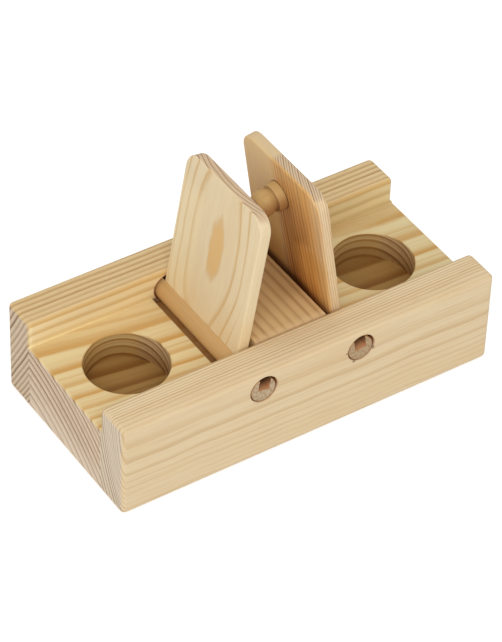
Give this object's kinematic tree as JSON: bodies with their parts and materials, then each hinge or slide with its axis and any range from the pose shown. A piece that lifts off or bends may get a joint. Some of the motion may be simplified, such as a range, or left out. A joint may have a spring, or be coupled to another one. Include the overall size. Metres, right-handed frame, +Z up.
{
  "type": "bird foraging toy",
  "caption": "Pine tray with bored food wells under hinged wooden lids that a bird lifts by their turned knobs.",
  "frame": {"origin": "middle of the tray's underside", "axes": "+X along the tray towards the right-hand well, +Y from front to rear along the hinge dowels, +Z up"},
  "size_m": [0.2, 0.1, 0.1191],
  "materials": {
    "pine_floor": "sanded bare pine",
    "pine_rail": "sanded bare pine",
    "pine_bridge": "sanded bare pine",
    "pine_lid": "sanded bare pine",
    "dowel_wood": "smooth bare dowel",
    "knob_wood": "turned and sanded bare wood"
  },
  "bodies": {
    "tray": {"floor_block": "pine_floor", "front_rail": "pine_rail", "rear_rail": "pine_rail", "centre_bridge": "pine_bridge"},
    "left_flap": {"left_lid": "pine_lid", "left_hinge_dowel": "dowel_wood", "left_knob": "knob_wood"},
    "right_flap": {"right_lid": "pine_lid", "right_hinge_dowel": "dowel_wood", "right_knob": "knob_wood"}
  },
  "joints": [
    {"name": "left_lid_hinge", "type": "hinge", "parent": "tray", "child": "left_flap", "pos_m": [-0.02625, 0, 0.04015], "axis": [0, -1, 0], "range_deg": [0, 98.9]},
    {"name": "right_lid_hinge", "type": "hinge", "parent": "tray", "child": "right_flap", "pos_m": [0.02625, 0, 0.04015], "axis": [0, 1, 0], "range_deg": [0, 98.9]}
  ]
}
